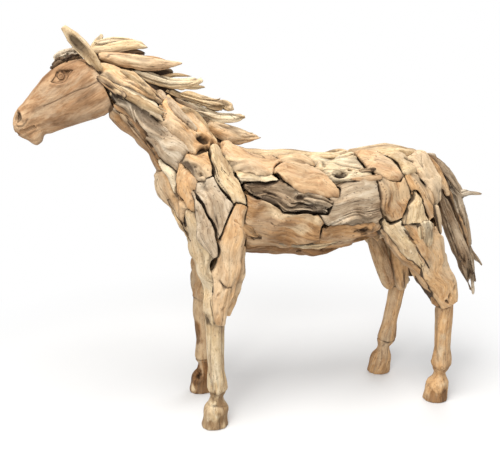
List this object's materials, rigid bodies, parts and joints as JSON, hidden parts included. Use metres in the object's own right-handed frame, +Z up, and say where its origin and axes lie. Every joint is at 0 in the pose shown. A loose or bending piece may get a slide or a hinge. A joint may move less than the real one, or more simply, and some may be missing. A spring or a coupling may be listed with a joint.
{
  "type": "driftwood horse sculpture",
  "caption": "Life-size standing horse of weathered driftwood boards and sticks laid edge to edge, with a carved head and carved lower legs.",
  "frame": {"origin": "on the ground, under the middle of the whole figure", "axes": "+X from the head to the tail, +Y to the horse's right side, +Z up"},
  "size_m": [2.2332, 0.4934, 1.7644],
  "materials": {
    "carved_wood": "smooth carved wood, oiled, with a fine dark crack",
    "honey_wood": "weathered, worn smooth, orange-tan",
    "rosy_wood": "weathered, worn smooth, pinkish tan",
    "pale_wood": "sun-bleached straw, with open grain",
    "grey_wood": "grey-brown and eroded, with deep dark grooves",
    "brown_wood": "weathered brown, with knot holes"
  },
  "bodies": {
    "root": {"back_front": "rosy_wood", "back_mid": "pale_wood", "back_plank": "pale_wood", "barrel_lower": "brown_wood", "barrel_rear": "grey_wood", "belly_front": "honey_wood", "belly_keel": "brown_wood", "belly_mid": "brown_wood", "breast": "honey_wood", "chest_front": "brown_wood", "chest_twist": "pale_wood", "croup_plank": "pale_wood", "croup_side": "rosy_wood", "croup_upper": "pale_wood", "ear_left": "pale_wood", "ear_right": "pale_wood", "flank_strip": "pale_wood", "forearm_front": "pale_wood", "forearm_outer": "honey_wood", "forearm_rear": "honey_wood", "forelock": "grey_wood", "gaskin_front": "pale_wood", "gaskin_outer": "honey_wood", "gaskin_rear": "brown_wood", "gaskin_shin": "grey_wood", "head": "carved_wood", "hip": "honey_wood", "lower_leg_left_fore": "pale_wood", "lower_leg_left_hind": "pale_wood", "lower_leg_right_fore": "brown_wood", "lower_leg_right_hind": "pale_wood", "mane_lower": "pale_wood", "mane_poll": "pale_wood", "mane_upper": "pale_wood", "neck_rear": "honey_wood", "neck_side": "grey_wood", "neck_strip_high": "honey_wood", "neck_strip_low": "pale_wood", "rib_grey": "grey_wood", "rib_upper": "rosy_wood", "right_forearm": "honey_wood", "right_gaskin": "pale_wood", "right_neck": "brown_wood", "right_ribs_lower": "honey_wood", "right_ribs_upper": "pale_wood", "right_shoulder": "grey_wood", "right_thigh": "honey_wood", "rump": "honey_wood", "scapula_strip": "pale_wood", "shoulder_blade": "grey_wood", "shoulder_front": "honey_wood", "shoulder_top": "honey_wood", "spine_slab": "pale_wood", "tail_inner": "brown_wood", "tail_outer": "grey_wood", "thigh_rear": "grey_wood", "thigh_top": "brown_wood", "thigh_triangle": "pale_wood", "throat": "brown_wood", "upper_arm": "grey_wood"}
  },
  "joints": []
}
